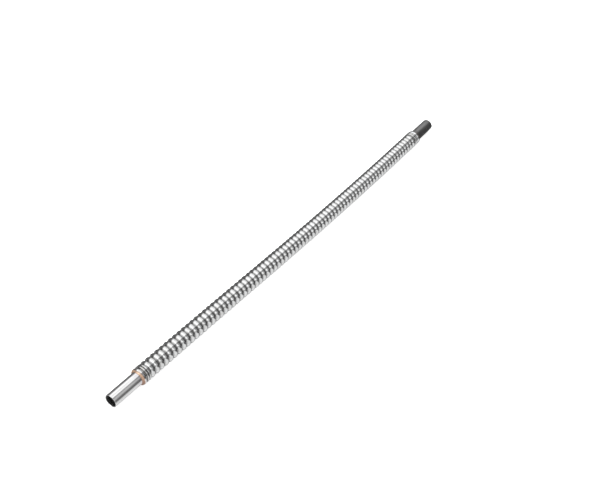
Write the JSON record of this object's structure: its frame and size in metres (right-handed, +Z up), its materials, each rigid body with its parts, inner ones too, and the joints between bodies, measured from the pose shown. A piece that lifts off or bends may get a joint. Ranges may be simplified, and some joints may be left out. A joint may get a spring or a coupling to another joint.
{
  "type": "corrugated metal hose assembly",
  "caption": "Flexible corrugated metal hose with a plain round tube stub brazed into each end through a short collar.",
  "frame": {"origin": "centre of the outline, on the surface that the hose lies on", "axes": "+Z up, +X along the chord from the near mouth to the far mouth, +Y to the left of that"},
  "size_m": [0.5367, 0.0199, 0.0168],
  "materials": {
    "hose_steel": "polished stainless steel",
    "stub_steel": "drawn and polished steel tube, faint draw lines",
    "far_stub_steel": "dull grey tube, oxidised by the brazing heat",
    "collar_steel": "turned steel, slightly heat tinted",
    "braze_copper": "copper braze fillet"
  },
  "bodies": {
    "near_end": {"near_tube_stub": "stub_steel", "near_end_collar": "collar_steel", "near_braze_ring": "braze_copper", "hose_span_01": "hose_steel"},
    "span_02": {"hose_span_02": "hose_steel"},
    "span_03": {"hose_span_03": "hose_steel"},
    "span_04": {"hose_span_04": "hose_steel"},
    "span_05": {"hose_span_05": "hose_steel"},
    "span_06": {"hose_span_06": "hose_steel"},
    "span_07": {"hose_span_07": "hose_steel"},
    "span_08": {"hose_span_08": "hose_steel"},
    "span_09": {"hose_span_09": "hose_steel"},
    "span_10": {"hose_span_10": "hose_steel"},
    "span_11": {"hose_span_11": "hose_steel"},
    "span_12": {"hose_span_12": "hose_steel"},
    "span_13": {"hose_span_13": "hose_steel"},
    "span_14": {"hose_span_14": "hose_steel"},
    "span_15": {"hose_span_15": "hose_steel"},
    "span_16": {"hose_span_16": "hose_steel"},
    "span_17": {"hose_span_17": "hose_steel"},
    "span_18": {"hose_span_18": "hose_steel"},
    "span_19": {"hose_span_19": "hose_steel"},
    "span_20": {"hose_span_20": "hose_steel"},
    "span_21": {"hose_span_21": "hose_steel"},
    "span_22": {"hose_span_22": "hose_steel"},
    "span_23": {"hose_span_23": "hose_steel"},
    "span_24": {"hose_span_24": "hose_steel"},
    "far_end": {"hose_span_25": "hose_steel", "far_end_collar": "collar_steel", "far_braze_ring": "braze_copper", "far_tube_stub": "far_stub_steel"}
  },
  "joints": [
    {"name": "side_bend_01", "type": "hinge", "parent": "near_end", "child": "span_02", "pos_m": [-0.2018, 0.00121, 0.0084], "axis": [0, 0, 1], "range_deg": [-12, 12]},
    {"name": "lift_bend_01", "type": "hinge", "parent": "span_02", "child": "span_03", "pos_m": [-0.18425, 0.00106, 0.0084], "axis": [-0.0096, -1, 0], "range_deg": [-12, 12]},
    {"name": "side_bend_02", "type": "hinge", "parent": "span_03", "child": "span_04", "pos_m": [-0.1667, 0.00088, 0.0084], "axis": [0, 0, 1], "range_deg": [-12, 12]},
    {"name": "lift_bend_02", "type": "hinge", "parent": "span_04", "child": "span_05", "pos_m": [-0.14915, 0.00067, 0.0084], "axis": [-0.0124, -0.9999, 0], "range_deg": [-12, 12]},
    {"name": "side_bend_03", "type": "hinge", "parent": "span_05", "child": "span_06", "pos_m": [-0.1316, 0.00044, 0.0084], "axis": [0, 0, 1], "range_deg": [-12, 12]},
    {"name": "lift_bend_03", "type": "hinge", "parent": "span_06", "child": "span_07", "pos_m": [-0.11406, 0.00018, 0.0084], "axis": [-0.0153, -0.9999, 0], "range_deg": [-12, 12]},
    {"name": "side_bend_04", "type": "hinge", "parent": "span_07", "child": "span_08", "pos_m": [-0.09651, -0.0001, 0.0084], "axis": [0, 0, 1], "range_deg": [-12, 12]},
    {"name": "lift_bend_04", "type": "hinge", "parent": "span_08", "child": "span_09", "pos_m": [-0.07896, -0.0004, 0.0084], "axis": [-0.0181, -0.9998, 0], "range_deg": [-12, 12]},
    {"name": "side_bend_05", "type": "hinge", "parent": "span_09", "child": "span_10", "pos_m": [-0.06141, -0.00073, 0.0084], "axis": [0, 0, 1], "range_deg": [-12, 12]},
    {"name": "lift_bend_05", "type": "hinge", "parent": "span_10", "child": "span_11", "pos_m": [-0.04387, -0.00102, 0.0084], "axis": [-0.0147, -0.9999, 0], "range_deg": [-12, 12]},
    {"name": "side_bend_06", "type": "hinge", "parent": "span_11", "child": "span_12", "pos_m": [-0.02632, -0.00125, 0.0084], "axis": [0, 0, 1], "range_deg": [-12, 12]},
    {"name": "lift_bend_06", "type": "hinge", "parent": "span_12", "child": "span_13", "pos_m": [-0.00877, -0.00144, 0.0084], "axis": [-0.0093, -1, 0], "range_deg": [-12, 12]},
    {"name": "side_bend_07", "type": "hinge", "parent": "span_13", "child": "span_14", "pos_m": [0.00878, -0.00157, 0.0084], "axis": [0, 0, 1], "range_deg": [-12, 12]},
    {"name": "lift_bend_07", "type": "hinge", "parent": "span_14", "child": "span_15", "pos_m": [0.02633, -0.00167, 0.0084], "axis": [-0.0038, -1, 0], "range_deg": [-12, 12]},
    {"name": "side_bend_08", "type": "hinge", "parent": "span_15", "child": "span_16", "pos_m": [0.04388, -0.00171, 0.0084], "axis": [0, 0, 1], "range_deg": [-12, 12]},
    {"name": "lift_bend_08", "type": "hinge", "parent": "span_16", "child": "span_17", "pos_m": [0.06143, -0.0017, 0.0084], "axis": [0.0016, -1, 0], "range_deg": [-12, 12]},
    {"name": "side_bend_09", "type": "hinge", "parent": "span_17", "child": "span_18", "pos_m": [0.07898, -0.00165, 0.0084], "axis": [0, 0, 1], "range_deg": [-12, 12]},
    {"name": "lift_bend_09", "type": "hinge", "parent": "span_18", "child": "span_19", "pos_m": [0.09653, -0.00155, 0.0084], "axis": [0.0071, -1, 0], "range_deg": [-12, 12]},
    {"name": "side_bend_10", "type": "hinge", "parent": "span_19", "child": "span_20", "pos_m": [0.11408, -0.0014, 0.0084], "axis": [0, 0, 1], "range_deg": [-12, 12]},
    {"name": "lift_bend_10", "type": "hinge", "parent": "span_20", "child": "span_21", "pos_m": [0.13163, -0.0012, 0.0084], "axis": [0.0126, -0.9999, 0], "range_deg": [-12, 12]},
    {"name": "side_bend_11", "type": "hinge", "parent": "span_21", "child": "span_22", "pos_m": [0.14918, -0.00096, 0.0084], "axis": [0, 0, 1], "range_deg": [-12, 12]},
    {"name": "lift_bend_11", "type": "hinge", "parent": "span_22", "child": "span_23", "pos_m": [0.16673, -0.00067, 0.0084], "axis": [0.018, -0.9998, 0], "range_deg": [-12, 12]},
    {"name": "side_bend_12", "type": "hinge", "parent": "span_23", "child": "span_24", "pos_m": [0.18427, -0.00033, 0.0084], "axis": [0, 0, 1], "range_deg": [-12, 12]},
    {"name": "lift_bend_12", "type": "hinge", "parent": "span_24", "child": "far_end", "pos_m": [0.20182, 0.00006, 0.0084], "axis": [0.0235, -0.9997, 0], "range_deg": [-12, 12]}
  ]
}
